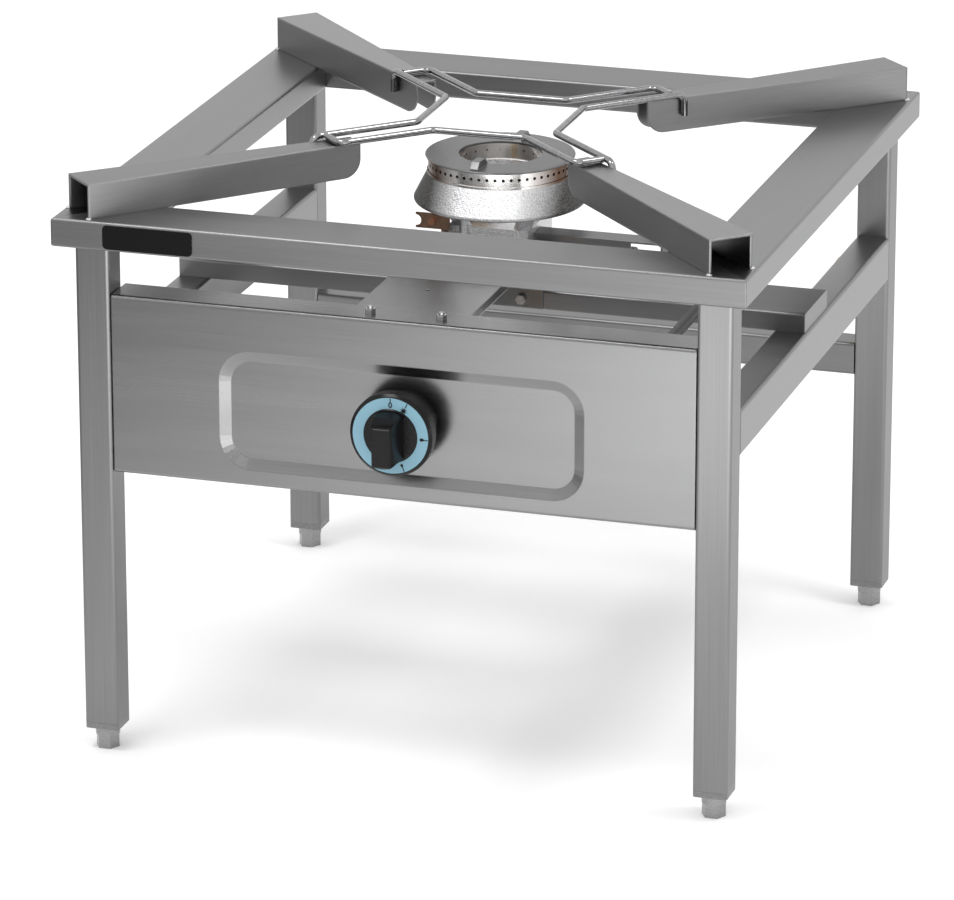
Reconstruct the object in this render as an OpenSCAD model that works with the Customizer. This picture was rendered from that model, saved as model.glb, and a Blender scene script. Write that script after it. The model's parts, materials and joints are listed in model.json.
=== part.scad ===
/* [Top frame] */
// Overall width of the top frame, left to right
frame_w = 600; // [540:5:680]
// Overall depth of the top frame, front to back
frame_d = 600; // [540:5:680]
// Height of the top frame's upper face above the floor
frame_top = 479; // [470:1:560]
// Width of each rail of the top frame
rail_w = 60; // [50:1:75]
// Height of each rail of the top frame
rail_h = 25; // [20:1:30]
// Wall of the top frame's rails
rail_wall = 1.5; // [1:0.1:2.2]
// Outside corner radius of the top frame's rails
rail_r = 2.5; // [2.3:0.1:4]

/* [Legs] */
// Side of the square leg tube
leg_s = 30; // [26:1:40]
// Wall of the leg tube and of the lower rails
leg_wall = 1.5; // [1:0.1:2]
// Outside corner radius of the leg tube and of the lower rails
leg_r = 3; // [2.2:0.1:4]
// Distance of a leg's outer faces behind the top frame's edge
leg_inset = 15; // [10:1:20]
// Thickness of the plug's plate under each leg
plug_h = 5; // [3:0.5:8]
// Length of the plug's spigot inside the leg
plug_spigot = 22; // [15:1:35]

/* [Feet] */
// Height of a foot below the leg plug when screwed right in
foot_h = 20; // [15:1:26]
// Height of the foot's round collar
foot_collar_h = 8; // [5:0.5:10]
// Diameter of the foot's round collar
foot_collar_d = 21; // [19:0.5:24]
// Width across the flats of the foot's hexagon
foot_hex = 18; // [15:0.5:19]
// Diameter of the foot's screw
foot_screw_d = 10; // [8:0.5:12]
// Length of the foot's screw inside the leg
foot_screw_l = 45; // [40:1:60]

/* [Lower rails] */
// Height of a side rail
side_h = 40; // [30:1:46]
// Height of the side rails' upper face above the floor
side_top = 353; // [335:1:360]
// Height of the rear rail
rear_h = 30; // [25:1:40]
// Height of the rear rail's upper face above the floor
rear_top = 252; // [200:1:290]

/* [Burner beam] */
// Width of the beam that carries the burner
beam_w = 75; // [70:1:90]
// Height of the beam
beam_h = 17; // [14:1:20]
// Sheet of the beam
beam_wall = 2; // [1.5:0.1:3]
// Radius of the beam's upper bends
beam_r = 2.5; // [2:0.1:4]

/* [Pot supports] */
// Height of a pot support above the top frame
support_h = 30; // [24:1:36]
// Width of a pot support at its outer end
support_outer_w = 40; // [34:1:50]
// Width of a pot support at its inner end
support_inner_w = 20; // [16:1:26]
// Distance from the middle of the range to a support's inner end
support_reach = 140; // [130:1:150]
// Set-back of a support's outer end from the frame's corner, along the diagonal
support_setback = 26; // [25:1:40]
// Sheet of the pot supports
support_wall = 2; // [1.5:0.1:3]
// Radius of the rounded lower corner at a support's inner end
support_round = 16; // [8:1:20]

/* [Wire grid] */
// Diameter of the grid's wire
wire_d = 6; // [5:0.5:7]
// Distance from the middle to each inner side of the grid
grid_half = 62; // [56:1:68]
// Distance along the diagonal at which the cross pieces lie
grid_cross_at = 162; // [158:1:170]
// Distance along the diagonal at which the hooks turn down
grid_hook_at = 174; // [172:1:185]
// Depth to which a hook reaches below the support's upper face
grid_hook_drop = 16; // [10:1:20]
// Bend radius of the wire's middle line
wire_bend = 8; // [7:0.5:9]

/* [Name plate] */
// Width of the blank plate on the front rail
plate_w = 79; // [60:1:100]
// Height of the plate
plate_h = 21; // [16:0.5:22]
// Distance of the plate's left end from the frame's left end
plate_left = 46; // [40:1:80]

/* [Front panel] */
// Height of the panel's upper edge above the floor
panel_top = 411; // [405:1:420]
// Height of the panel
panel_h = 157; // [150:1:180]
// Sheet of the panel
panel_t = 1.5; // [1:0.1:2]
// Depth of the folded edges
panel_flange = 35; // [28:1:40]
// Radius of the panel's bends
panel_r = 3; // [2.5:0.1:4]
// Set-back of the panel's face behind the legs' front faces
panel_set = 2; // [0:0.5:4]
// Width of the pressed field
press_w = 318; // [280:1:360]
// Height of the pressed field
press_h = 104; // [96:1:112]
// Corner radius of the pressed field
press_r = 28; // [20:1:34]
// Width of the pressed field's sloping border
press_bevel = 9; // [6:0.5:12]
// Depth of the pressed field
press_depth = 4; // [2:0.5:6]
// Height of the pressed field's middle, and of the knob, above the floor
knob_z = 320; // [315:1:325]

/* [Knob and valve] */
// Diameter of the knob's skirt
knob_d = 71.6; // [64:0.2:78]
// Distance from the panel's face to the front of the skirt
knob_out = 26; // [24:0.5:30]
// Thickness of the skirt
knob_skirt_t = 14; // [9:0.5:15]
// Height of the grip above the skirt's front
grip_h = 26; // [20:1:30]
// Width of the grip at its front
grip_w = 17.5; // [14:0.5:20]
// Width of the grip at its foot
grip_foot_w = 24; // [20:0.5:28]
// Outer diameter of the printed dial ring
dial_d = 65.6; // [62:0.2:67.6]
// Inner diameter of the printed dial ring
dial_in_d = 47; // [42:0.5:50]
// Diameter of the valve's spindle
spindle_d = 8; // [6:0.5:9]
// Travel of the knob when it is pushed in
push_travel = 4; // [2:0.5:5]

/* [Burner] */
// Outer diameter of the burner's top plate
cap_d = 130; // [124:1:140]
// Diameter of the opening in the middle of the top plate
cap_hole_d = 72; // [66:1:76]
// Thickness of the top plate
cap_t = 2; // [1.5:0.1:3]
// Height of the perforated flame ring
ring_h = 14; // [12:0.5:18]
// Outer diameter of the flame ring
ring_d = 125; // [120:1:130]
// Wall of the flame ring
ring_wall = 1.5; // [1:0.1:2]
// Number of flame ports round the outside
port_count = 56; // [40:1:64]
// Number of flame ports round the inside
inner_port_count = 20; // [12:1:26]
// Diameter of an outer flame port
port_d = 2.8; // [1.6:0.1:3.2]
// Diameter of an inner flame port
inner_port_d = 1.8; // [1.2:0.1:2.4]
// Largest diameter of the cast burner body
bowl_d = 150; // [142:1:160]
// Height of the cast body's bowl
bowl_h = 26; // [24:1:34]
// Wall of the cast body
bowl_wall = 3.5; // [2.5:0.1:4.5]
// Gap between the box and the bowl's lower rim, where air comes in
base_gap = 16; // [14:1:22]

/* [Gas way] */
// Diameter of the mixing tube
mixer_d = 32; // [28:1:36]
// Length of the mixing tube to the right of the box
mixer_l = 85; // [80:1:100]
// Diameter of the pipe from the valve to the injector
jet_pipe_d = 10; // [8:0.5:12]
// Distance of that pipe to the right of the middle
jet_pipe_x = 207; // [200:1:215]
// Diameter of the supply pipe
supply_d = 17; // [15:0.5:18]
// Distance of the supply pipe below the knob's axis
supply_low = 8; // [7:0.5:10]
// Diameter of the threaded end of the gas inlet
inlet_d = 20.96; // [18:0.01:22]

/* [Hidden] */

// Clearances and overruns
over = 1;
fit_gap = 0.3;
screw_gap = 0.05;
$fn = 48;

// Main planes
knob_stand = knob_out + grip_h - leg_inset - panel_set;
mid_y = knob_stand / 2;
front_y = mid_y - frame_d / 2;
rear_y = mid_y + frame_d / 2;
leg_x = frame_w / 2 - leg_inset - leg_s / 2;
leg_y = frame_d / 2 - leg_inset - leg_s / 2;
leg_bottom = foot_h + plug_h;
leg_top = frame_top - rail_h;
leg_in_x = leg_x - leg_s / 2;
panel_y = front_y + leg_inset + panel_set;
panel_mid_z = panel_top - panel_h / 2;
panel_gap = 0.8;
panel_w = 2 * (leg_in_x - panel_gap);
steel = [0.72, 0.72, 0.72];
dark_steel = [0.45, 0.45, 0.46];
brass = [0.75, 0.6, 0.3];

// Rectangle with round corners, about its middle
module rounded_rect(w, h, r) {
  square([w - 2 * r, h], center = true);
  square([w, h - 2 * r], center = true);
  for (x = [-1, 1], y = [-1, 1])
    translate([x * (w / 2 - r), y * (h / 2 - r)])
      circle(r = r, $fn = 32);
}

// Section of a rectangular tube
module tube_section(w, h, wall, r) {
  difference() {
    rounded_rect(w, h, r);
    rounded_rect(w - 2 * wall, h - 2 * wall, r - wall);
  }
}

// Directions and angles along a wire or pipe through points
function unit(v) = v / norm(v);
function way(points, i) = unit(points[i + 1] - points[i]);
function bend_axis(points, i) = unit(cross(way(points, i - 1), way(points, i)));
function bend_angle(points, i) =
  i < 1 || i > len(points) - 2 ? 0 : acos(max(-1, min(1, way(points, i - 1) * way(points, i))));
function bend_back(points, i, bend) = bend * tan(bend_angle(points, i) / 2);
function straight(points, i, bend) =
  norm(points[i + 1] - points[i]) - bend_back(points, i, bend) - bend_back(points, i + 1, bend);
function roll(points, i) =
  i > len(points) - 3 ? 0
  : atan2(cross(bend_axis(points, i), bend_axis(points, i + 1)) * way(points, i),
          bend_axis(points, i) * bend_axis(points, i + 1));

// A band a hair wider than the wire covers the seam after a slanted bend
seam_l = 0.4;
seam_lift = 0.03;

// One straight piece along Z, the bend after it towards +X, and all that follows
module bent_run(points, r, bend, i) {
  length = straight(points, i, bend);
  angle = bend_angle(points, i + 1);
  cylinder(h = length, r = r, $fn = 32);
  if (i < len(points) - 2)
    translate([bend, 0, length]) {
      rotate([90, 0, 180])
        rotate_extrude(angle = angle, $fn = 48)
          translate([bend, 0])
            circle(r = r, $fn = 32);
      rotate([0, angle, 0])
        translate([-bend, 0, 0]) {
          if (angle != 90)
            cylinder(h = seam_l, r = r + seam_lift, center = true);
          rotate([0, 0, roll(points, i + 1)])
            bent_run(points, r, bend, i + 1);
        }
    }
}

// A wire or pipe through the points, bent to a radius at each inner point
module bent_bar(points, r, bend) {
  u = way(points, 0);
  n = bend_axis(points, 1);
  side = cross(n, u);
  start = points[0];
  multmatrix([[side[0], n[0], u[0], start[0]], [side[1], n[1], u[1], start[1]],
              [side[2], n[2], u[2], start[2]], [0, 0, 0, 1]])
    bent_run(points, r, bend, 0);
}

// A hexagon nut or head along Z
module hex_block(flats, h) {
  cylinder(h = h, r = flats / 2 / cos(30), $fn = 6);
}

// Top frame
// A rail of the top frame with its outer face on the X axis, cut to a mitre at both ends
module top_rail(length) {
  color(steel)
    intersection() {
      translate([0, rail_w / 2, rail_h / 2])
        rotate([90, 0, 90])
          linear_extrude(height = length, center = true)
            tube_section(rail_w, rail_h, rail_wall, rail_r);
      linear_extrude(height = rail_h)
        polygon([[-length / 2, 0], [length / 2, 0], [length / 2 - rail_w, rail_w], [-length / 2 + rail_w, rail_w]]);
    }
}
module top_rail_front() { translate([0, front_y, leg_top]) top_rail(frame_w); }
module top_rail_rear() { translate([0, rear_y, leg_top]) rotate([0, 0, 180]) top_rail(frame_w); }
module top_rail_left() { translate([-frame_w / 2, mid_y, leg_top]) rotate([0, 0, -90]) top_rail(frame_d); }
module top_rail_right() { translate([frame_w / 2, mid_y, leg_top]) rotate([0, 0, 90]) top_rail(frame_d); }

// Legs, plugs and feet
// Screws that hold the panel's side folds to the front legs
panel_screw_d = 5;
panel_screw_z_share = 0.3;
panel_screw_back = 15;
panel_screw_y = panel_y + panel_screw_back;
panel_screw_zs = [panel_mid_z - panel_screw_z_share * panel_h, panel_mid_z + panel_screw_z_share * panel_h];

module leg(sx, sy) {
  color(steel)
    difference() {
      translate([sx * leg_x, mid_y + sy * leg_y, leg_bottom])
        linear_extrude(height = leg_top - leg_bottom)
          tube_section(leg_s, leg_s, leg_wall, leg_r);
      if (sy < 0)
        for (z = panel_screw_zs)
          translate([sx * (leg_in_x + leg_wall / 2), panel_screw_y, z])
            rotate([0, 90, 0])
              cylinder(h = leg_wall + 2 * over, r = panel_screw_d / 2 + screw_gap, center = true);
    }
}

module leg_plug(sx, sy) {
  inner_s = leg_s - 2 * leg_wall - fit_gap;
  color(dark_steel)
    translate([sx * leg_x, mid_y + sy * leg_y, foot_h])
      difference() {
        union() {
          linear_extrude(height = plug_h)
            rounded_rect(leg_s, leg_s, leg_r);
          linear_extrude(height = plug_h + plug_spigot)
            rounded_rect(inner_s, inner_s, leg_r - leg_wall);
        }
        translate([0, 0, -over])
          cylinder(h = plug_h + plug_spigot + 2 * over, r = foot_screw_d / 2 + screw_gap);
      }
}

module foot(sx, sy) {
  color(dark_steel)
    translate([sx * leg_x, mid_y + sy * leg_y, 0]) {
      hex_block(foot_hex, foot_h - foot_collar_h);
      translate([0, 0, foot_h - foot_collar_h])
        cylinder(h = foot_collar_h, r = foot_collar_d / 2);
      translate([0, 0, foot_h - foot_collar_h])
        cylinder(h = foot_collar_h + foot_screw_l, r = foot_screw_d / 2);
    }
}

// Lower rails
module side_rail(sx) {
  color(steel)
    translate([sx * leg_x, mid_y, side_top - side_h / 2])
      rotate([90, 0, 0])
        linear_extrude(height = 2 * leg_y - leg_s, center = true)
          tube_section(leg_s, side_h, leg_wall, leg_r);
}

module rear_rail() {
  color(steel)
    translate([0, mid_y + leg_y, rear_top - rear_h / 2])
      rotate([90, 0, 90])
        linear_extrude(height = 2 * leg_in_x, center = true)
          tube_section(leg_s, rear_h, leg_wall, leg_r);
}

// Burner beam: a folded channel, open below, with closed ends
beam_top = side_top + beam_h;
beam_end_set = 2;
beam_l = 2 * (leg_x + leg_s / 2 - beam_end_set);
burner_bolt_d = 5;
base_edge = 1.5;
base_s = beam_w - 2 * base_edge;
base_foot_s = 16;
base_foot_h = 4;
base_foot_x = base_s / 2 + base_foot_s / 2;
base_foot_y = base_s / 2 - base_foot_s / 2;
shield_screw_x = 31;
shield_screw_d = 5;
shield_low = 8;
shield_screw_z = side_top + shield_low;

module beam_outline() {
  translate([-beam_w / 2, 0])
    square([beam_w, beam_h - beam_r]);
  translate([-beam_w / 2 + beam_r, 0])
    square([beam_w - 2 * beam_r, beam_h]);
  for (s = [-1, 1])
    translate([s * (beam_w / 2 - beam_r), beam_h - beam_r])
      circle(r = beam_r, $fn = 32);
}

module burner_beam() {
  color(steel)
    translate([0, mid_y, side_top])
      difference() {
        rotate([90, 0, 90])
          linear_extrude(height = beam_l, center = true)
            beam_outline();
        translate([-beam_l / 2 + beam_wall, -beam_w / 2 + beam_wall, -over])
          cube([beam_l - 2 * beam_wall, beam_w - 2 * beam_wall, beam_h - beam_wall + over]);
        for (s = [-1, 1]) {
          for (y = [-1, 1])
            translate([s * base_foot_x, y * base_foot_y, 0])
              cylinder(h = beam_h + over, r = burner_bolt_d / 2 + screw_gap);
          translate([s * shield_screw_x, -beam_w / 2 + beam_wall / 2, shield_low])
            rotate([90, 0, 0])
              cylinder(h = beam_wall + 2 * over, r = shield_screw_d / 2 + screw_gap, center = true);
        }
      }
}

// Pot supports: tapered channels on the diagonals, open below and at both ends
support_a = atan2(frame_d, frame_w);
support_end = norm([frame_w, frame_d]) / 2 - support_setback;
function support_half(s) =
  support_inner_w / 2 + (s - support_reach) / (support_end - support_reach) * (support_outer_w - support_inner_w) / 2;

module support_plan(from, to, thin) {
  polygon([[from, -support_half(from) + thin], [to, -support_half(to) + thin],
           [to, support_half(to) - thin], [from, support_half(from) - thin]]);
}

module pot_support(sx, sy) {
  angle = sy > 0 ? (sx > 0 ? support_a : 180 - support_a) : (sx > 0 ? -support_a : 180 + support_a);
  color(steel)
    translate([0, mid_y, frame_top])
      rotate([0, 0, angle])
        difference() {
          linear_extrude(height = support_h)
            support_plan(support_reach, support_end, 0);
          translate([0, 0, -over])
            linear_extrude(height = support_h - support_wall + over)
              support_plan(support_reach - over, support_end + over, support_wall);
          translate([support_reach, 0, 0])
            difference() {
              translate([-over, -support_outer_w / 2, -over])
                cube([support_round + over, support_outer_w, support_round + over]);
              translate([support_round, 0, support_round])
                rotate([90, 0, 0])
                  cylinder(h = support_outer_w + 2 * over, r = support_round, center = true);
            }
        }
}

// Wire grid: two hooked wires and two wires whose cross pieces lie on the supports
support_top = frame_top + support_h;
wire_r = wire_d / 2;
grid_z = support_top + fit_gap + wire_r;
grid_side = support_half(grid_hook_at) + fit_gap + wire_r;
function on_diagonal(s, off) = [s * cos(support_a) + off * sin(support_a), s * sin(support_a) - off * cos(support_a)];
function grid_point(sx, sy, p, z) = [sx * p[0], mid_y + sy * p[1], z];
// Where the run beside a support meets an inner side of the grid
side_bend = on_diagonal((grid_half - grid_side * sin(support_a)) / cos(support_a), grid_side);
end_bend = on_diagonal((grid_half - grid_side * cos(support_a)) / sin(support_a), -grid_side);

module grid_wire_side(sx) {
  hook = on_diagonal(grid_hook_at, grid_side);
  low = support_top - grid_hook_drop;
  color("silver")
    bent_bar([grid_point(sx, -1, hook, low), grid_point(sx, -1, hook, grid_z),
              grid_point(sx, -1, side_bend, grid_z), grid_point(sx, 1, side_bend, grid_z),
              grid_point(sx, 1, hook, grid_z), grid_point(sx, 1, hook, low)], wire_r, wire_bend);
}

module grid_wire_end(sy) {
  corner = on_diagonal(grid_cross_at, -grid_side);
  stop = on_diagonal(grid_cross_at, grid_side - wire_r - screw_gap);
  color("silver")
    bent_bar([grid_point(-1, sy, stop, grid_z), grid_point(-1, sy, corner, grid_z),
              grid_point(-1, sy, end_bend, grid_z), grid_point(1, sy, end_bend, grid_z),
              grid_point(1, sy, corner, grid_z), grid_point(1, sy, stop, grid_z)], wire_r, wire_bend);
}

// Blank plate stuck to the front rail
plate_t = 1;
plate_r = 4;
module name_plate() {
  color([0.05, 0.05, 0.05])
    translate([-frame_w / 2 + plate_left + plate_w / 2, front_y, frame_top - rail_h / 2])
      rotate([90, 0, 0])
        linear_extrude(height = plate_t)
          rounded_rect(plate_w, plate_h - fit_gap, plate_r);
}

// Front panel: a folded sheet with a pressed field
knob_hole_d = 30;
flange_bolt_back = 17;
flange_bolt_x = 31;
flange_bolt_d = 5;
side_fold = 25;

// The pressed field's volume, pushed back by a distance
module press_volume(back, ahead) {
  grow = ahead * press_bevel / press_depth;
  translate([0, panel_y, knob_z])
    rotate([-90, 0, 0])
      hull() {
        translate([0, 0, back - ahead])
          linear_extrude(height = screw_gap)
            rounded_rect(press_w + 2 * grow, press_h + 2 * grow, press_r + grow);
        translate([0, 0, back + press_depth - screw_gap])
          linear_extrude(height = screw_gap)
            rounded_rect(press_w - 2 * press_bevel, press_h - 2 * press_bevel, press_r - press_bevel);
      }
}

module front_panel() {
  color(steel)
    difference() {
      union() {
        translate([0, panel_y, panel_mid_z])
          rotate([90, 0, 90])
            linear_extrude(height = panel_w, center = true)
              intersection() {
                translate([panel_flange, 0])
                  tube_section(2 * panel_flange, panel_h, panel_t, panel_r);
                translate([0, -panel_h / 2])
                  square([panel_flange, panel_h]);
              }
        for (s = [-1, 1])
          translate([s * (panel_w / 2 - panel_t / 2), panel_y + panel_t / 2 + side_fold / 2, panel_mid_z])
            cube([panel_t, side_fold, panel_h - panel_t], center = true);
        press_volume(panel_t, 0);
      }
      press_volume(0, over);
      translate([0, panel_y, knob_z])
        rotate([-90, 0, 0])
          cylinder(h = press_depth + panel_t + over, r = knob_hole_d / 2);
      for (s = [-1, 1]) {
        translate([s * flange_bolt_x, panel_y + flange_bolt_back, panel_top - panel_t - over])
          cylinder(h = panel_t + 2 * over, r = flange_bolt_d / 2 + screw_gap);
        for (z = panel_screw_zs)
          translate([s * (panel_w / 2 - panel_t / 2), panel_screw_y, z])
            rotate([0, 90, 0])
              cylinder(h = panel_t + 2 * over, r = panel_screw_d / 2 + screw_gap, center = true);
      }
    }
}

// Screws from the panel's side folds into the legs
screw_head_h = 3;
screw_head_share = 0.9;
module panel_screws() {
  color("silver")
    for (s = [-1, 1], z = panel_screw_zs)
      translate([s * (panel_w / 2 - panel_t), panel_screw_y, z])
        rotate([0, s * 90, 0]) {
          cylinder(h = panel_t + panel_gap + 2 * leg_wall + over, r = panel_screw_d / 2);
          translate([0, 0, -screw_head_h])
            cylinder(h = screw_head_h, r = screw_head_share * panel_screw_d);
        }
}

// Shield over the valve and its pipes, bolted under the panel's fold and to the beam
shield_half_w = 50;
shield_t = 1.5;
shield_lip = 6;
shield_top = panel_top - panel_t;
shield_front_y = panel_y + panel_t + press_depth + over;
shield_rear_y = mid_y - beam_w / 2;
shield_hole_back = 95;
shield_hole_x = 6;
shield_hole_d = 4;
module valve_shield() {
  color(steel)
    difference() {
      translate([-shield_half_w, shield_front_y, shield_top - shield_t])
        union() {
          cube([2 * shield_half_w, shield_rear_y - shield_front_y, shield_t]);
          for (x = [0, 2 * shield_half_w - shield_t])
            translate([x, panel_flange - press_depth, -shield_lip])
              cube([shield_t, shield_rear_y - shield_front_y - panel_flange + press_depth, shield_lip + shield_t]);
          translate([0, shield_rear_y - shield_front_y - shield_t, side_top - shield_top + shield_t])
            cube([2 * shield_half_w, shield_t, shield_top - side_top]);
        }
      for (s = [-1, 1]) {
        translate([s * flange_bolt_x, panel_y + flange_bolt_back, shield_top - shield_t - over])
          cylinder(h = shield_t + 2 * over, r = flange_bolt_d / 2 + screw_gap);
        translate([s * shield_screw_x, shield_rear_y, shield_screw_z])
          rotate([90, 0, 0])
            cylinder(h = shield_t + over, r = shield_screw_d / 2 + screw_gap);
      }
      translate([-pilot_drop_x - pilot_pipe_d, shield_rear_y - 2 * shield_t, lead_low_z - pilot_pipe_d])
        cube([2 * pilot_pipe_d, 3 * shield_t, pilot_low_z - lead_low_z + 2 * pilot_pipe_d]);
      translate([-shield_hole_x, panel_y + shield_hole_back, shield_top - shield_t - over])
        cylinder(h = shield_t + 2 * over, r = shield_hole_d / 2);
    }
}

// Bolts with nuts through the panel's fold, and screws into the beam
nut_flats = 8;
nut_h = 4;
bolt_past = 2;
module shield_bolts() {
  color("silver")
    for (s = [-1, 1]) {
      translate([s * flange_bolt_x, panel_y + flange_bolt_back, shield_top - shield_t]) {
        translate([0, 0, -nut_h])
          hex_block(nut_flats, nut_h);
        cylinder(h = shield_t + panel_t + nut_h + bolt_past, r = flange_bolt_d / 2);
        translate([0, 0, shield_t + panel_t])
          hex_block(nut_flats, nut_h);
      }
      translate([s * shield_screw_x, shield_rear_y - shield_t, shield_screw_z])
        rotate([-90, 0, 0]) {
          cylinder(h = shield_t + beam_wall + nut_h, r = shield_screw_d / 2);
          translate([0, 0, -nut_h])
            hex_block(nut_flats, nut_h);
          translate([0, 0, shield_t + beam_wall])
            hex_block(nut_flats, nut_h);
        }
    }
}

// Knob: everything about its own axis, front towards -Y
knob_front_y = panel_y - knob_out;
hub_d = 44;
bezel_t = 6;
bezel_d = 58;
bezel_in_d = 34;
bezel_y = panel_y + press_depth - bezel_t;
hub_gap = 1;
hub_rear_y = bezel_y - push_travel - hub_gap;
skirt_round = 2;
dial_t = 0.8;
dial_raise = 0.2;
spindle_seat_y = knob_front_y + knob_skirt_t;
flat_share = 0.75;
disc_rise = 1;
grip_r = 21.5;
grip_top = 15;
grip_round = 2;

// Places children at the knob's axis, with Z pointing out of the panel, from a given Y
module on_knob(y) {
  translate([0, y, knob_z])
    rotate([90, 0, 0])
      children();
}

// The grip from the disc's face outwards: tapered sides, a slanted upper end and a round lower one
module grip() {
  front = grip_h - disc_rise;
  intersection() {
    cylinder(h = front, r = grip_r);
    rotate([90, 0, 0])
      linear_extrude(height = 2 * grip_r, center = true)
        polygon([[-grip_foot_w / 2, 0], [grip_foot_w / 2, 0], [grip_w / 2, front - grip_round],
                 [grip_w / 2 - grip_round, front], [grip_round - grip_w / 2, front], [-grip_w / 2, front - grip_round]]);
    rotate([90, 0, 90])
      linear_extrude(height = grip_foot_w, center = true)
        polygon([[-grip_r, 0], [grip_r, 0], [grip_top, front - grip_round], [grip_top - grip_round, front],
                 [grip_round - grip_r, front], [-grip_r, front - grip_round]]);
  }
}

module knob() {
  disc_z = knob_skirt_t + disc_rise;
  color([0.06, 0.06, 0.065])
    on_knob(spindle_seat_y)
      difference() {
        union() {
          rotate_extrude($fn = 96)
            polygon([[0, -(hub_rear_y - spindle_seat_y)], [hub_d / 2, -(hub_rear_y - spindle_seat_y)], [hub_d / 2, 0],
                     [knob_d / 2 - skirt_round, 0], [knob_d / 2, skirt_round],
                     [knob_d / 2, knob_skirt_t - skirt_round], [knob_d / 2 - skirt_round, knob_skirt_t],
                     [dial_in_d / 2, knob_skirt_t], [dial_in_d / 2 - disc_rise, disc_z], [0, disc_z]]);
          translate([0, 0, disc_z])
            grip();
        }
        translate([0, 0, spindle_seat_y - hub_rear_y - over])
          difference() {
            cylinder(h = hub_rear_y - spindle_seat_y + over + knob_skirt_t / 2, r = spindle_d / 2 + screw_gap);
            translate([-spindle_d, spindle_d * (flat_share - 0.5) + screw_gap, 0])
              cube([2 * spindle_d, spindle_d, hub_rear_y - spindle_seat_y + over + knob_skirt_t / 2]);
          }
        translate([0, 0, knob_skirt_t - dial_t])
          difference() {
            cylinder(h = dial_t + over, r = dial_d / 2 + screw_gap);
            translate([0, 0, -over])
              cylinder(h = dial_t + 3 * over, r = dial_in_d / 2 - screw_gap);
          }
      }
}

// Printed ring that lies in the skirt
module dial_ring() {
  color([0.55, 0.72, 0.78])
    on_knob(knob_front_y + dial_t)
      difference() {
        cylinder(h = dial_t + dial_raise, r = dial_d / 2, $fn = 96);
        translate([0, 0, -over])
          cylinder(h = dial_t + dial_raise + 2 * over, r = dial_in_d / 2, $fn = 96);
      }
}

module knob_bezel() {
  color([0.08, 0.08, 0.085])
    on_knob(bezel_y + bezel_t)
      difference() {
        cylinder(h = bezel_t, r = bezel_d / 2, $fn = 96);
        translate([0, 0, -over])
          cylinder(h = bezel_t + 2 * over, r = bezel_in_d / 2, $fn = 96);
      }
}

// Valve: spindle, plunger, bonnet and body
valve_front_y = panel_y + press_depth + panel_t;
bonnet_d = 26;
bonnet_t = 8;
bonnet_tabs_w = 44;
bonnet_tabs_h = 14;
valve_w = 34;
valve_h = 36;
valve_l = 42;
valve_body_y = valve_front_y + bonnet_t;
spindle_end_y = valve_body_y + bonnet_t;
plunger_l = 20;
boss_d = 20;
boss_l = 8;
outlet_boss_d = 15;
magnet_d = 18;
magnet_l = 22;
magnet_low = 8;
pilot_boss_d = 10;
pilot_boss_l = 10;
pilot_pipe_d = 4;
lead_d = 3;
valve_boss_y = valve_body_y + valve_l / 2;
pilot_boss_x = 9;
pilot_boss_z = knob_z + magnet_low;
supply_z = knob_z - supply_low;

module valve_spindle() {
  color(brass)
    on_knob(spindle_end_y)
      difference() {
        cylinder(h = spindle_end_y - knob_front_y - knob_skirt_t / 2, r = spindle_d / 2);
        translate([-spindle_d, spindle_d * (flat_share - 0.5), spindle_end_y - hub_rear_y - over])
          cube([2 * spindle_d, spindle_d, hub_rear_y - knob_front_y + 2 * over]);
      }
}

module valve_plunger() {
  color(brass)
    on_knob(spindle_end_y + plunger_l)
      cylinder(h = plunger_l, r = spindle_d / 2);
}

module valve_bonnet() {
  color("silver")
    on_knob(valve_body_y)
      difference() {
        union() {
          cylinder(h = bonnet_t, r = bonnet_d / 2);
          translate([0, 0, bonnet_t / 2])
            linear_extrude(height = bonnet_t / 2)
              rounded_rect(bonnet_tabs_w, bonnet_tabs_h, bonnet_tabs_h / 3);
        }
        translate([0, 0, -over])
          cylinder(h = bonnet_t + 2 * over, r = spindle_d / 2 + screw_gap);
      }
}

module gas_valve() {
  color(brass)
    difference() {
      union() {
        on_knob(valve_body_y + valve_l)
          linear_extrude(height = valve_l)
            rounded_rect(valve_w, valve_h, bonnet_t / 2);
        translate([valve_w / 2 - over, valve_boss_y, supply_z])
          rotate([0, 90, 0])
            cylinder(h = boss_l + over, r = boss_d / 2);
        translate([0, valve_boss_y, knob_z + valve_h / 2 - over])
          cylinder(h = boss_l + over, r = outlet_boss_d / 2);
        translate([0, valve_body_y + valve_l + magnet_l, knob_z - magnet_low])
          rotate([90, 0, 0])
            cylinder(h = magnet_l + over, r = magnet_d / 2);
        translate([-pilot_boss_x, valve_body_y + valve_l + pilot_boss_l, pilot_boss_z])
          rotate([90, 0, 0])
            cylinder(h = pilot_boss_l + over, r = pilot_boss_d / 2);
      }
      on_knob(spindle_end_y + plunger_l + push_travel + over)
        cylinder(h = valve_l, r = spindle_d / 2 + screw_gap);
    }
}

// Supply pipe: along the right side rail and behind the panel to the valve
supply_bend = 25;
inlet_l = 18;
inlet_hex = 24;
supply_x = leg_in_x - inlet_hex / 2 / cos(30) - over;
inlet_hex_l = 10;
inlet_bore_d = 13;
inlet_y = rear_y - over;
clip_w = 15;
clip_t = 2;
clip_y_share = 0.3;
module supply_pipe() {
  color(dark_steel)
    bent_bar([[valve_w / 2 + boss_l, valve_boss_y, supply_z], [supply_x, valve_boss_y, supply_z],
              [supply_x, inlet_y - inlet_l - inlet_hex_l, supply_z]], supply_d / 2, supply_bend);
}

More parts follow.
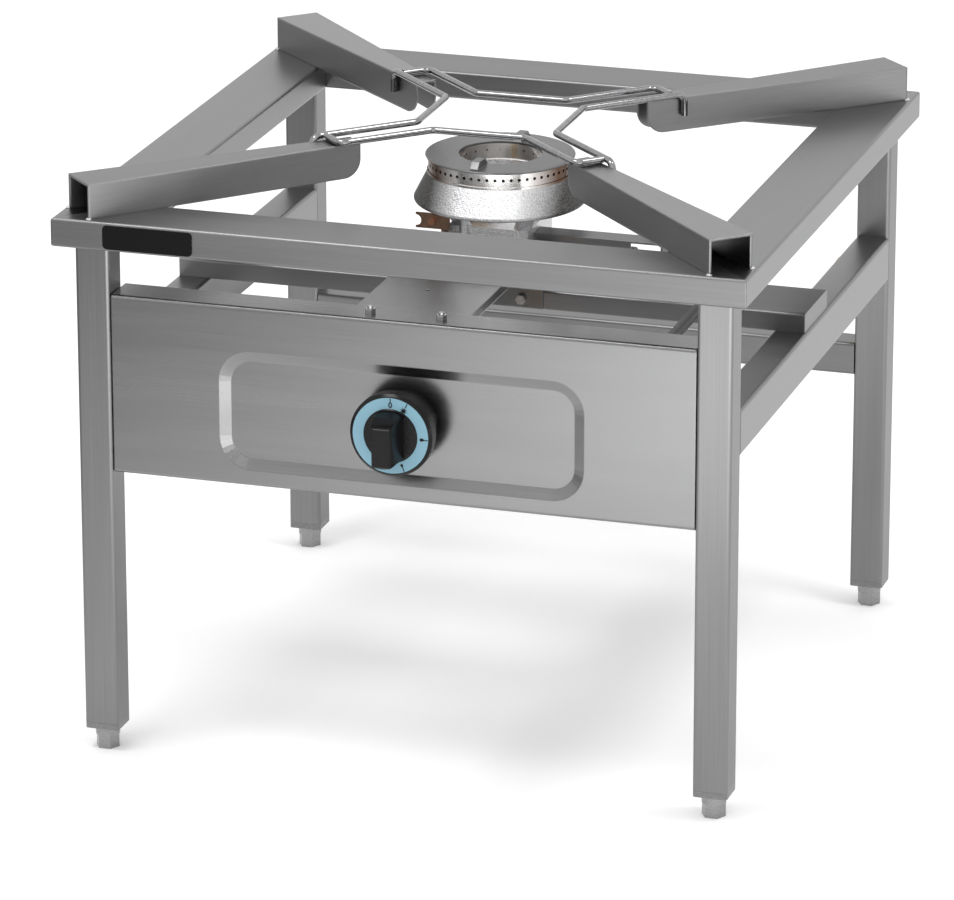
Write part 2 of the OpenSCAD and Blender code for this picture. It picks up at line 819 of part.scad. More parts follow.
module gas_inlet() {
  color(brass)
    translate([supply_x, inlet_y, supply_z])
      rotate([90, 0, 0])
        difference() {
          union() {
            cylinder(h = inlet_l, r = inlet_d / 2);
            translate([0, 0, inlet_l])
              hex_block(inlet_hex, inlet_hex_l);
          }
          translate([0, 0, -over])
            cylinder(h = inlet_l + over, r = inlet_bore_d / 2);
        }
}

// Saddle clips that hold the supply pipe to the side rail
module pipe_clips() {
  color("silver")
    for (s = [-1, 1])
      translate([supply_x, mid_y + s * clip_y_share * frame_d, supply_z])
        rotate([90, 0, 0])
          difference() {
            linear_extrude(height = clip_w, center = true)
              difference() {
                union() {
                  circle(r = supply_d / 2 + clip_t);
                  translate([0, -supply_d / 2 - clip_t])
                    square([leg_in_x - supply_x, supply_d + 2 * clip_t]);
                }
                circle(r = supply_d / 2 + screw_gap);
              }
            translate([leg_in_x - supply_x - screw_gap, -supply_d, -clip_w])
              cube([supply_d, 2 * supply_d, 2 * clip_w]);
          }
}

// Injector, its pipe and its bracket
base_top = frame_top - cap_t - ring_h - bowl_h - base_gap;
mixer_low = 7.5;
mixer_z = (beam_top + base_top) / 2 - mixer_low;
mixer_x = base_s / 2 + over;
mixer_end = base_s / 2 + mixer_l;
jet_gap = 28;
bracket_end = mixer_end + jet_gap;
bracket_w = 20;
bracket_t = 2;
bracket_lip = 12;
bracket_tab = 8;
bracket_drop = 5.5;
bracket_z = base_top - bracket_drop;
jet_d = 8;
jet_hex = 14;
jet_hex_l = 10;
jet_tip_l = 14;
jet_bore_d = 2;
jet_bend = 20;
bracket_plate_w = 34;

module injector_pipe() {
  color(dark_steel)
    bent_bar([[0, valve_boss_y, knob_z + valve_h / 2 + boss_l], [0, valve_boss_y, mixer_z],
              [jet_pipe_x, valve_boss_y, mixer_z], [jet_pipe_x, mid_y, mixer_z],
              [bracket_end + bracket_t + jet_hex_l, mid_y, mixer_z]], jet_pipe_d / 2, jet_bend);
}

module injector() {
  color(brass)
    translate([bracket_end, mid_y, mixer_z])
      rotate([0, 90, 0])
        difference() {
          union() {
            translate([0, 0, -jet_tip_l])
              cylinder(h = jet_tip_l + bracket_t + over, r = jet_d / 2);
            translate([0, 0, bracket_t])
              hex_block(jet_hex, jet_hex_l);
          }
          translate([0, 0, -jet_tip_l - over])
            cylinder(h = jet_tip_l + over, r = jet_bore_d / 2);
        }
}

// A folded arm from the burner's box over the mixing tube, with a plate down to the beam
module injector_bracket() {
  color(steel)
    translate([0, mid_y, 0])
      difference() {
        union() {
          translate([base_s / 2, -bracket_w, bracket_z - bracket_t])
            cube([bracket_end + bracket_t - base_s / 2, bracket_w, bracket_t]);
          translate([base_s / 2 + bracket_t, -bracket_w, bracket_z - bracket_lip])
            cube([mixer_l, bracket_t, bracket_lip]);
          translate([base_s / 2, -bracket_w, bracket_z - bracket_tab])
            cube([bracket_t, bracket_w, bracket_tab]);
          translate([bracket_end, -bracket_plate_w / 2, beam_top])
            cube([bracket_t, bracket_plate_w, bracket_z - beam_top]);
        }
        translate([bracket_end - over, 0, mixer_z])
          rotate([0, 90, 0])
            cylinder(h = bracket_t + 2 * over, r = jet_d / 2 + screw_gap);
      }
}

// Mixing tube with air windows, and the shutter that slides over them
mixer_wall = 2;
window_d = 12;
window_back = 14;
shutter_l = 12;
shutter_wall = 1.5;
shutter_flange_d = 44;
shutter_x = mixer_end - window_back - window_d / 2 - shutter_l;
module mixing_tube() {
  color(steel)
    translate([0, mid_y, mixer_z])
      rotate([0, 90, 0])
        difference() {
          translate([0, 0, mixer_x])
            cylinder(h = mixer_end - mixer_x, r = mixer_d / 2);
          translate([0, 0, mixer_x - over])
            cylinder(h = mixer_end - mixer_x + 2 * over, r = mixer_d / 2 - mixer_wall);
          for (a = [0 : 90 : 270])
            translate([0, 0, mixer_end - window_back])
              rotate([0, 90, a + 45])
                cylinder(h = mixer_d, r = window_d / 2);
        }
}

module air_shutter() {
  color("silver")
    translate([shutter_x, mid_y, mixer_z])
      rotate([0, 90, 0])
        difference() {
          union() {
            cylinder(h = shutter_l, r = mixer_d / 2 + screw_gap + shutter_wall);
            cylinder(h = shutter_wall, r = shutter_flange_d / 2);
          }
          translate([0, 0, -over])
            cylinder(h = shutter_l + 2 * over, r = mixer_d / 2 + screw_gap);
          translate([mixer_d / 2 + screw_gap + shutter_wall, -shutter_flange_d, -over])
            cube([shutter_flange_d, 2 * shutter_flange_d, shutter_l]);
        }
}

// Burner: cast body, flame ring and top plate
ring_z = frame_top - cap_t - ring_h;
bowl_z = ring_z - bowl_h;
bead = 1;
bowl_top_r = ring_d / 2 + bead;
core_r = cap_hole_d / 2 - bowl_wall / 2;
arm_w = 18;
slim_arm_w = 12;
arm_deep = 10;
arm_lean = 14;
arm_edge = 1;
arm_wall = 2;
column_x = 21;
column_d = 7.4;
column_low = 8;
well_r = 24;
well_depth = 1.5;
function lower_arc(r, z, big, a) = [r + big * cos(a), z + big * sin(a)];
lip_r = 3;
mixer_boss_wall = 1.8;

module bowl_profile() {
  r_out = bowl_d / 2;
  z_lip = bowl_z + lip_r;
  difference() {
    polygon(concat([[core_r, bowl_z], [core_r, ring_z], [bowl_top_r, ring_z]],
                   [for (a = [15 : -15 : -90]) lower_arc(r_out - lip_r, z_lip, lip_r, a)]));
    polygon([[core_r + bowl_wall, bowl_z + bowl_wall], [core_r + bowl_wall, ring_z + over],
             [bowl_top_r - bowl_wall, ring_z + over], [bowl_top_r - bowl_wall, ring_z],
             [r_out - bowl_wall - lip_r / 2, bowl_z + bowl_wall]]);
  }
}

// An arm from a corner of the box to the bowl, or with a thickness taken off the duct inside it
module burner_arm(angle, w, thin, past) {
  foot_r = base_s / sqrt(2) - w / 2 - arm_edge;
  rotate([0, 0, angle])
    rotate([90, 0, 90])
      linear_extrude(height = w - 2 * thin, center = true)
        polygon([[foot_r - arm_deep + thin, base_top - bowl_wall - past],
                 [foot_r - thin, base_top - bowl_wall - past],
                 [foot_r + arm_lean - thin, bowl_z + bowl_wall + past],
                 [foot_r + arm_lean - arm_deep + thin, bowl_z + bowl_wall + past]]);
}

module burner_body() {
  color([0.68, 0.68, 0.7])
    difference() {
      union() {
        translate([0, mid_y, 0]) {
          rotate_extrude($fn = 128)
            bowl_profile();
          for (s = [0, 180]) {
            burner_arm(s - 45, arm_w, 0, 0);
            burner_arm(s + 45, slim_arm_w, 0, 0);
          }
          translate([-column_x, -(base_s + column_d) / 2 + over, base_top - column_low])
            cylinder(h = bowl_z + bowl_wall - base_top + column_low, r = column_d / 2);
        }
        translate([-base_s / 2, mid_y - base_s / 2, beam_top])
          difference() {
            cube([base_s, base_s, base_top - beam_top]);
            translate([bowl_wall, bowl_wall, bowl_wall])
              cube([base_s - 2 * bowl_wall, base_s - 2 * bowl_wall, base_top - beam_top - 2 * bowl_wall]);
          }
        translate([base_s / 2 - over, mid_y, mixer_z])
          rotate([0, 90, 0])
            cylinder(h = boss_l + over, r = mixer_d / 2 + mixer_boss_wall);
        for (x = [-1, 1], y = [-1, 1])
          translate([x * base_foot_x, mid_y + y * base_foot_y, beam_top])
            linear_extrude(height = base_foot_h)
              rounded_rect(base_foot_s, base_foot_s, lip_r);
      }
      translate([base_s / 2 - bowl_wall - over, mid_y, mixer_z])
        rotate([0, 90, 0])
          cylinder(h = boss_l + bowl_wall + 2 * over, r = mixer_d / 2 - mixer_wall);
      translate([mixer_x, mid_y, mixer_z])
        rotate([0, 90, 0])
          cylinder(h = boss_l + over, r = mixer_d / 2 + screw_gap);
      for (s = [0, 180])
        translate([0, mid_y, 0])
          burner_arm(s - 45, arm_w, arm_wall, over);
      translate([0, mid_y, base_top - well_depth])
        cylinder(h = well_depth + over, r = well_r);
      translate([-base_s / 2 - over, mid_y + tab_screw_y, base_top - tab_screw_low])
        rotate([0, 90, 0])
          cylinder(h = bowl_wall + 2 * over, r = pilot_screw_d / 2 + screw_gap);
      for (x = [-1, 1], y = [-1, 1])
        translate([x * base_foot_x, mid_y + y * base_foot_y, beam_top - over])
          cylinder(h = base_foot_h + 2 * over, r = burner_bolt_d / 2 + screw_gap);
    }
}

module burner_bolts() {
  color("silver")
    for (x = [-1, 1], y = [-1, 1])
      translate([x * base_foot_x, mid_y + y * base_foot_y, beam_top - beam_wall]) {
        translate([0, 0, -nut_h])
          hex_block(nut_flats, nut_h);
        translate([0, 0, -nut_h])
          cylinder(h = beam_wall + base_foot_h + 2 * nut_h, r = burner_bolt_d / 2);
        translate([0, 0, beam_wall + base_foot_h])
          hex_block(nut_flats, nut_h);
      }
}

port_up_share = 0.6;
module flame_ring() {
  r_out = ring_d / 2;
  r_in = cap_hole_d / 2;
  bead_h = 2;
  port_z = port_up_share * ring_h;
  color([0.6, 0.52, 0.45])
    translate([0, mid_y, ring_z])
      difference() {
        rotate_extrude($fn = 128)
          difference() {
            union() {
              translate([r_in, 0])
                square([r_out - r_in, ring_h]);
              for (z = [0, ring_h - bead_h])
                translate([r_out - over, z])
                  square([over + bead, bead_h]);
            }
            translate([r_in + ring_wall, -over])
              square([r_out - r_in - 2 * ring_wall, ring_h - ring_wall + over]);
          }
        for (i = [0 : port_count - 1])
          rotate([0, 0, i * 360 / port_count])
            translate([r_out - ring_wall - over, 0, port_z])
              rotate([0, 90, 0])
                cylinder(h = ring_wall + 2 * over, r = port_d / 2, $fn = 16);
        for (i = [0 : inner_port_count - 1])
          rotate([0, 0, i * 360 / inner_port_count])
            translate([r_in - over, 0, port_z])
              rotate([0, 90, 0])
                cylinder(h = ring_wall + 2 * over, r = inner_port_d / 2, $fn = 16);
      }
}

// Top plate with two raised lugs
lug_w = 7.6;
lug_h = 6;
lug_slope = 5;
lug_reach_share = 0.9;
lug_turn = -6;
cap_edge = 0.7;
module burner_cap() {
  r_out = cap_d / 2;
  r_in = cap_hole_d / 2;
  lug_end = lug_reach_share * r_out;
  color([0.62, 0.62, 0.63])
    translate([0, mid_y, frame_top - cap_t]) {
      rotate_extrude($fn = 128)
        polygon([[r_in, 0], [r_out - cap_edge, 0], [r_out, cap_edge], [r_out, cap_t - cap_edge],
                 [r_out - cap_edge, cap_t], [r_in, cap_t]]);
      for (s = [0, 180])
        rotate([0, 0, s + lug_turn])
          rotate([90, 0, 90])
            linear_extrude(height = lug_w, center = true)
              polygon([[r_in + cap_edge, cap_t / 2], [lug_end, cap_t / 2], [lug_end, cap_t],
                       [lug_end - lug_slope, cap_t + lug_h], [r_in + lug_slope, cap_t + lug_h],
                       [r_in + cap_edge, cap_t]]);
    }
}

// Pilot set: a bracket on the box's left side carries the pilot burner and the thermocouple
pilot_t = 2;
pilot_plate_lap = 5;
pilot_plate_reach = 25;
pilot_plate_ahead = 14;
pilot_plate_in = base_s / 2 - pilot_plate_lap;
pilot_plate_out = base_s / 2 + pilot_plate_reach;
pilot_plate_y = base_s / 2 + pilot_plate_ahead;
pilot_plate_rise = 13;
pilot_plate_h = 13.5;
pilot_notch_d = 10;
pilot_side_low = 16;
pilot_side_back = 14;
pilot_neck_low = 6;
pilot_neck_rise = 10;
pilot_shelf_rise = 12;
pilot_shelf_front = 15;
pilot_shelf_back = 6;
pilot_shelf_in = 1;
pilot_d = 7;
probe_d = 5;
pilot_x = 16;
pilot_y = 9;
probe_x = 6;
probe_y = 1;
pilot_hood = 6;
pilot_block = 10;
pilot_run_rise = 3.5;
pilot_run_z = base_top + pilot_run_rise;
pilot_top_z = ring_z;
pilot_screw_reach = 10;
pilot_screw_x = base_s / 2 + pilot_screw_reach;
pilot_screw_d = 5;
pilot_screw_head_d = 6;
tab_screw_y = 8;
tab_screw_low = 8;

module pilot_bracket() {
  side_x = -base_s / 2 - pilot_t;
  shelf_z = base_top + pilot_shelf_rise;
  plate_top = base_top + pilot_plate_rise;
  plate_mid = plate_top - pilot_plate_h / 2;
  color([0.5, 0.36, 0.25])
    translate([0, mid_y, 0])
      difference() {
        union() {
          translate([-pilot_plate_out, -pilot_plate_y, plate_top - pilot_plate_h])
            cube([pilot_plate_out - pilot_plate_in, pilot_t, pilot_plate_h]);
          translate([side_x, 0, base_top])
            rotate([90, 0, 90])
              linear_extrude(height = pilot_t)
                polygon([[-pilot_plate_y, -pilot_neck_low], [-base_s / 2, -pilot_neck_low],
                         [-base_s / 2, -pilot_side_low], [pilot_side_back, -pilot_side_low],
                         [pilot_side_back, -pilot_t], [pilot_shelf_back, -pilot_t],
                         [pilot_shelf_back, pilot_shelf_rise + pilot_t],
                         [-pilot_shelf_front, pilot_shelf_rise + pilot_t], [-pilot_shelf_front, -pilot_t],
                         [-base_s / 2, -pilot_t], [-base_s / 2 - pilot_t, pilot_neck_rise],
                         [-pilot_plate_y, pilot_neck_rise]]);
          translate([side_x, -pilot_shelf_front, shelf_z])
            cube([-side_x + pilot_shelf_in, pilot_shelf_front + pilot_shelf_back, pilot_t]);
        }
        translate([-pilot_plate_out, -pilot_plate_y - over, plate_mid])
          rotate([-90, 0, 0])
            cylinder(h = pilot_t + 2 * over, r = pilot_notch_d / 2);
        translate([-pilot_screw_x, -pilot_plate_y - over, plate_mid])
          rotate([-90, 0, 0])
            cylinder(h = pilot_t + 2 * over, r = pilot_screw_d / 2 + screw_gap);
        translate([side_x - over, tab_screw_y, base_top - tab_screw_low])
          rotate([0, 90, 0])
            cylinder(h = pilot_t + 2 * over, r = pilot_screw_d / 2 + screw_gap);
        for (way = [[pilot_y, pilot_pipe_d], [probe_y, lead_d]])
          translate([side_x - over, -way[0], pilot_run_z])
            rotate([0, 90, 0])
              cylinder(h = pilot_t + 2 * over, r = way[1] / 2 + fit_gap);
        translate([-pilot_x, -pilot_y, shelf_z - over])
          cylinder(h = pilot_t + 2 * over, r = pilot_d / 2 + screw_gap);
        translate([-probe_x, -probe_y, shelf_z - over])
          cylinder(h = pilot_t + 2 * over, r = probe_d / 2 + screw_gap);
      }
}

// A screw through the visible plate, and one through the side plate into the box's wall
module pilot_screws() {
  color([0.75, 0.45, 0.28]) {
    translate([-pilot_screw_x, mid_y - pilot_plate_y, base_top + pilot_plate_rise - pilot_plate_h / 2])
      rotate([-90, 0, 0]) {
        cylinder(h = pilot_t + nut_h, r = pilot_screw_d / 2);
        translate([0, 0, -screw_head_h])
          cylinder(h = screw_head_h, r = pilot_screw_head_d / 2);
        translate([0, 0, pilot_t])
          hex_block(nut_flats, nut_h);
      }
    translate([-base_s / 2 - pilot_t, mid_y + tab_screw_y, base_top - tab_screw_low])
      rotate([0, 90, 0]) {
        cylinder(h = pilot_t + bowl_wall + over, r = pilot_screw_d / 2);
        translate([0, 0, -screw_head_h])
          cylinder(h = screw_head_h, r = screw_head_share * pilot_screw_d);
      }
  }
}

module pilot_burner() {
  color(brass)
    translate([-pilot_x, mid_y - pilot_y, 0]) {
      translate([0, 0, base_top + pilot_shelf_rise - over])
        cylinder(h = pilot_top_z - base_top - pilot_shelf_rise + over, r = pilot_d / 2);
      translate([0, 0, pilot_top_z - pilot_hood])
        cylinder(h = pilot_hood, r = pilot_d / 2 + bead);
      translate([0, 0, (base_top + pilot_shelf_rise + base_top + over) / 2])
        cube([pilot_block, pilot_block, pilot_shelf_rise - over], center = true);
    }
}

module thermocouple() {
  color("silver")
    translate([-probe_x, mid_y - probe_y, base_top + pilot_shelf_rise]) {
      cylinder(h = pilot_top_z - base_top - pilot_shelf_rise, r = probe_d / 2);
      translate([0, 0, pilot_t])
        cylinder(h = pilot_hood, r = probe_d / 2 + bead);
    }
}

// The pilot's pipe and the probe's lead run down beside the box and forward under the shield
small_bend = 8;
pilot_back_run = 20;
pilot_drop_reach = 11;
pilot_drop_x = base_s / 2 + pilot_drop_reach;
pilot_low_z = base_top - 2.5 * pilot_block;
lead_low_z = pilot_low_z - pilot_block;
valve_rear_y = valve_body_y + valve_l;
module pilot_pipe() {
  turn_y = valve_rear_y + pilot_boss_l + pilot_back_run;
  color([0.72, 0.45, 0.28])
    bent_bar([[-pilot_boss_x, valve_rear_y + pilot_boss_l, pilot_boss_z], [-pilot_boss_x, turn_y, pilot_boss_z],
              [-pilot_boss_x, turn_y, pilot_low_z], [-pilot_drop_x, turn_y, pilot_low_z],
              [-pilot_drop_x, mid_y - pilot_y, pilot_low_z], [-pilot_drop_x, mid_y - pilot_y, pilot_run_z],
              [-pilot_x - pilot_block / 2, mid_y - pilot_y, pilot_run_z]], pilot_pipe_d / 2, small_bend);
}

module thermocouple_lead() {
  turn_y = valve_rear_y + magnet_l + pilot_back_run;
  magnet_z = knob_z - magnet_low;
  color([0.72, 0.45, 0.28])
    bent_bar([[0, valve_rear_y + magnet_l, magnet_z], [0, turn_y, magnet_z],
              [0, turn_y, lead_low_z], [-pilot_drop_x, turn_y, lead_low_z],
              [-pilot_drop_x, mid_y - probe_y, lead_low_z], [-pilot_drop_x, mid_y - probe_y, pilot_run_z],
              [-probe_x, mid_y - probe_y, pilot_run_z],
              [-probe_x, mid_y - probe_y, base_top + pilot_shelf_rise]], lead_d / 2, small_bend);
}

top_rail_front();
top_rail_rear();
top_rail_left();
top_rail_right();
leg(-1, -1);  // leg_front_left
leg(1, -1);  // leg_front_right
leg(-1, 1);  // leg_rear_left
leg(1, 1);  // leg_rear_right
leg_plug(-1, -1);  // leg_plug_front_left
leg_plug(1, -1);  // leg_plug_front_right
leg_plug(-1, 1);  // leg_plug_rear_left
leg_plug(1, 1);  // leg_plug_rear_right
foot(-1, -1);  // foot_front_left
foot(1, -1);  // foot_front_right
foot(-1, 1);  // foot_rear_left
foot(1, 1);  // foot_rear_right
side_rail(-1);  // side_rail_left
side_rail(1);  // side_rail_right
rear_rail();
burner_beam();
pot_support(-1, -1);  // pot_support_front_left
pot_support(1, -1);  // pot_support_front_right
pot_support(-1, 1);  // pot_support_rear_left
pot_support(1, 1);  // pot_support_rear_right
grid_wire_side(-1);  // grid_wire_left
grid_wire_side(1);  // grid_wire_right
grid_wire_end(-1);  // grid_wire_front
grid_wire_end(1);  // grid_wire_rear
name_plate();
front_panel();
panel_screws();
valve_shield();
shield_bolts();
knob();
dial_ring();
knob_bezel();
valve_spindle();
valve_plunger();
gas_valve();
valve_bonnet();
supply_pipe();
gas_inlet();
pipe_clips();
injector_pipe();
injector();
injector_bracket();
mixing_tube();
air_shutter();
burner_body();
burner_bolts();
flame_ring();
burner_cap();
pilot_bracket();
pilot_screws();
pilot_burner();
thermocouple();
pilot_pipe();
thermocouple_lead();
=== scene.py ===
import json
import math

import bmesh
import bpy
from mathutils import Matrix, Vector


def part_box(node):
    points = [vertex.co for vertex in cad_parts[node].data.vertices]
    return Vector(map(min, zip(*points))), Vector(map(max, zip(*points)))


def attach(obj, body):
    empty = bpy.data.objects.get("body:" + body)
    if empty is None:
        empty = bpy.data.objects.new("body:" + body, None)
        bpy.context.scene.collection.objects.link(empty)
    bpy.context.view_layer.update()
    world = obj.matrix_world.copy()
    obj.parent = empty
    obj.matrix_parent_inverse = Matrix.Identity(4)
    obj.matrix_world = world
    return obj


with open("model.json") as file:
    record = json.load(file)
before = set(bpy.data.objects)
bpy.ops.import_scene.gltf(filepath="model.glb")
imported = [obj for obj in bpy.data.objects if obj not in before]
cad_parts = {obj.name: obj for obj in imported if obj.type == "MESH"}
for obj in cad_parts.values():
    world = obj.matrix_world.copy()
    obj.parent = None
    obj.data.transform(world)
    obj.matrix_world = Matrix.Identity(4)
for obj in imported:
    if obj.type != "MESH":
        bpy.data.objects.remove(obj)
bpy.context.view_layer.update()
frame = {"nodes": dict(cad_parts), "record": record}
MM = 0.001

# The stand's front and the top of its rails, from the frame
FRONT_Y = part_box("top_rail_front")[0].y
FRAME_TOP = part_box("top_rail_front")[1].z


# Camera
CAMERA_RIGHT = 1.5115
CAMERA_AHEAD = 4.6141
CAMERA_UP = 1.9505
CAMERA_YAW = math.radians(17.325)
CAMERA_PITCH = math.radians(-18.727)
CAMERA_ROLL = math.radians(-0.053)
IMAGE_W = 954
FOCAL_PX = 6186
SENSOR_W = 36
VIEW_END = 60


def make_camera():
    data = bpy.data.cameras.new("camera")
    data.sensor_width = SENSOR_W
    data.lens = FOCAL_PX / IMAGE_W * SENSOR_W
    data.clip_end = VIEW_END
    camera = bpy.data.objects.new("camera", data)
    bpy.context.scene.collection.objects.link(camera)
    ahead = Vector((-math.sin(CAMERA_YAW) * math.cos(CAMERA_PITCH),
                    math.cos(CAMERA_YAW) * math.cos(CAMERA_PITCH),
                    math.sin(CAMERA_PITCH)))
    level = Vector((math.cos(CAMERA_YAW), math.sin(CAMERA_YAW), 0))
    upward = level.cross(ahead)
    right = level * math.cos(CAMERA_ROLL) + upward * math.sin(CAMERA_ROLL)
    up = right.cross(ahead)
    turned = Matrix((right, up, -ahead)).transposed().to_4x4()
    place = Vector((CAMERA_RIGHT, FRONT_Y - CAMERA_AHEAD, CAMERA_UP))
    camera.matrix_world = Matrix.Translation(place) @ turned
    bpy.context.scene.camera = camera


make_camera()
bpy.context.scene.view_settings.view_transform = "Standard"


# Shader helpers
NO_TURN = (0, 0, 0)
NO_STRETCH = (1, 1, 1)
RANGE_ENDS = ("From Min", "From Max", "To Min", "To Max")
SOFT_DETAIL = 2
FINE_DETAIL = 3


def new_material(name):
    """A node material that holds only its Principled shader and its output."""
    material = bpy.data.materials.new(name)
    material.use_nodes = True
    nodes = material.node_tree.nodes
    nodes.clear()
    out = nodes.new("ShaderNodeOutputMaterial")
    shader = nodes.new("ShaderNodeBsdfPrincipled")
    material.node_tree.links.new(shader.outputs["BSDF"], out.inputs["Surface"])
    return material, material.node_tree, shader


def math_node(tree, operation, *values):
    """A Math node on values that are outputs of other nodes or plain numbers."""
    node = tree.nodes.new("ShaderNodeMath")
    node.operation = operation
    for socket, value in zip(node.inputs, values):
        if isinstance(value, (int, float)):
            socket.default_value = value
        else:
            tree.links.new(value, socket)
    return node.outputs[0]


def map_range(tree, value, ends):
    """A value moved from between the first two ends to between the last two."""
    node = tree.nodes.new("ShaderNodeMapRange")
    for name, number in zip(RANGE_ENDS, ends):
        node.inputs[name].default_value = number
    tree.links.new(value, node.inputs["Value"])
    return node.outputs["Result"]


def object_axes(tree):
    """The object coordinates, split into X, Y and Z."""
    place = tree.nodes.new("ShaderNodeTexCoord")
    split = tree.nodes.new("ShaderNodeSeparateXYZ")
    tree.links.new(place.outputs["Object"], split.inputs["Vector"])
    return split.outputs


def turned_coordinates(tree, turn, stretch):
    """Object coordinates turned by Euler angles, then scaled along the turned axes."""
    place = tree.nodes.new("ShaderNodeTexCoord")
    rotate = tree.nodes.new("ShaderNodeMapping")
    rotate.inputs["Rotation"].default_value = turn
    scale = tree.nodes.new("ShaderNodeMapping")
    scale.inputs["Scale"].default_value = stretch
    tree.links.new(place.outputs["Object"], rotate.inputs["Vector"])
    tree.links.new(rotate.outputs["Vector"], scale.inputs["Vector"])
    return scale.outputs["Vector"]


def noise(tree, vector, scale, detail):
    node = tree.nodes.new("ShaderNodeTexNoise")
    node.inputs["Scale"].default_value = scale
    node.inputs["Detail"].default_value = detail
    tree.links.new(vector, node.inputs["Vector"])
    return node.outputs["Fac"]


def ramp(tree, value, low, high, color_a, color_b):
    node = tree.nodes.new("ShaderNodeValToRGB")
    node.color_ramp.elements[0].position = low
    node.color_ramp.elements[0].color = (*color_a, 1)
    node.color_ramp.elements[1].position = high
    node.color_ramp.elements[1].color = (*color_b, 1)
    tree.links.new(value, node.inputs["Fac"])
    return node.outputs["Color"]


def plain_noise(tree, scale, detail):
    return noise(tree, turned_coordinates(tree, NO_TURN, NO_STRETCH), scale, detail)


def bump(tree, shader, value, strength, depth):
    node = tree.nodes.new("ShaderNodeBump")
    node.inputs["Strength"].default_value = strength
    node.inputs["Distance"].default_value = depth
    tree.links.new(value, node.inputs["Height"])
    tree.links.new(node.outputs["Normal"], shader.inputs["Normal"])
    return node


# Brushed steel
# Turns that bring a direction of the grain on to the texture's X axis
GRAIN_TURNS = {
    "x": NO_TURN,
    "y": (0, 0, math.radians(90)),
    "z": (0, math.radians(90), 0),
    "rising": (0, 0, math.radians(-45)),
    "falling": (0, 0, math.radians(45)),
}
# The same directions as vectors, a hair off each axis so that no face stands square to one
GRAIN_WAYS = {
    "x": (1, 0.03, 0.02),
    "y": (0.03, 1, 0.02),
    "z": (0.03, 0.02, 1),
    "rising": (1, 1, 0.02),
    "falling": (1, -1, 0.02),
}
QUARTER_TURN = 0.25
FINE_GRAIN = (9, 900, 900)
BROAD_GRAIN = (3, 45, 45)
GRAIN_REACH = (0.36, 0.64)
DARK_SHARE = 0.92
LIGHT_SHARE = 1.06
ROUGH_REACH = (0.3, 0.7)
SMOOTHER = 0.02
ROUGHER = 0.03
GRAIN_STRENGTH = 0.04
GRAIN_DEPTH = 0.0002
BEND_SAMPLES = 6
TUBE_BEND = 0.0012
SUPPORT_BEND = 0.0022


def brushed(name, grain, tone, rough, lengthways, bend=TUBE_BEND):
    """Stainless steel with a fine grain along one direction, which draws its highlights out across it.

    The light turns round its edges as if they were bent to the radius given."""
    material, tree, shader = new_material(name)
    fine = noise(tree, turned_coordinates(tree, GRAIN_TURNS[grain], FINE_GRAIN), 1.0, FINE_DETAIL)
    broad = noise(tree, turned_coordinates(tree, GRAIN_TURNS[grain], BROAD_GRAIN), 1.0, SOFT_DETAIL)
    both = math_node(tree, "MULTIPLY", math_node(tree, "ADD", fine, broad), 0.5)
    dark = tuple(c * DARK_SHARE for c in tone)
    light = tuple(c * LIGHT_SHARE for c in tone)
    tree.links.new(ramp(tree, both, *GRAIN_REACH, dark, light), shader.inputs["Base Color"])
    roughness = map_range(tree, both, (*ROUGH_REACH, rough - SMOOTHER, rough + ROUGHER))
    tree.links.new(roughness, shader.inputs["Roughness"])
    shader.inputs["Metallic"].default_value = 1
    shader.inputs["Anisotropic"].default_value = lengthways
    shader.inputs["Anisotropic Rotation"].default_value = QUARTER_TURN
    way = tree.nodes.new("ShaderNodeCombineXYZ")
    for axis, value in zip("XYZ", GRAIN_WAYS[grain]):
        way.inputs[axis].default_value = value
    tree.links.new(way.outputs["Vector"], shader.inputs["Tangent"])
    grain_bump = bump(tree, shader, fine, GRAIN_STRENGTH, GRAIN_DEPTH)
    rounded = tree.nodes.new("ShaderNodeBevel")
    rounded.samples = BEND_SAMPLES
    rounded.inputs["Radius"].default_value = bend
    tree.links.new(rounded.outputs["Normal"], grain_bump.inputs["Normal"])
    return material


# Burner
# The burner's painted shade is least, so it looks brightest, a little to the right of its middle
UNSHADED_X = 0.008
CAST_GRAIN = 720
CAST_REACH = (0.30, 0.68)
CAST_DEPTH = 0.0009
CAST_ROUGH = 0.36
UNSHADED_TONES = ((0.68, 0.68, 0.69), (0.97, 0.97, 0.98))
# Dark tones for the painted shade at the burner's left and right, and how far out from its least shaded part
# that shade grows
PAINTED_SHADE_TONES = ((0.025, 0.025, 0.025), (0.15, 0.145, 0.14))
PAINTED_SHADE_REACH = (0.024, 0.056)
# Heat tint with painted shade on the flame ring, darkest at its left and right
TINT_AND_SHADE_REACH = (0.028, 0.050)
RING_TONES = ((0.92, 0.90, 0.88), (0.10, 0.055, 0.035))
RING_ROUGH = 0.2
PATCH_GRAIN = 90
PATCH_REACH = (0.35, 0.7)
PATCH_TONES = ((0.20, 0.115, 0.075), (0.38, 0.25, 0.17))
PLATE_METALLIC = 0.9
PLATE_ROUGH = 0.35


def across_burner(tree):
    """Distance to the left or right of where the burner's painted shade is least."""
    return math_node(tree, "ABSOLUTE", math_node(tree, "SUBTRACT", object_axes(tree)["X"], UNSHADED_X))


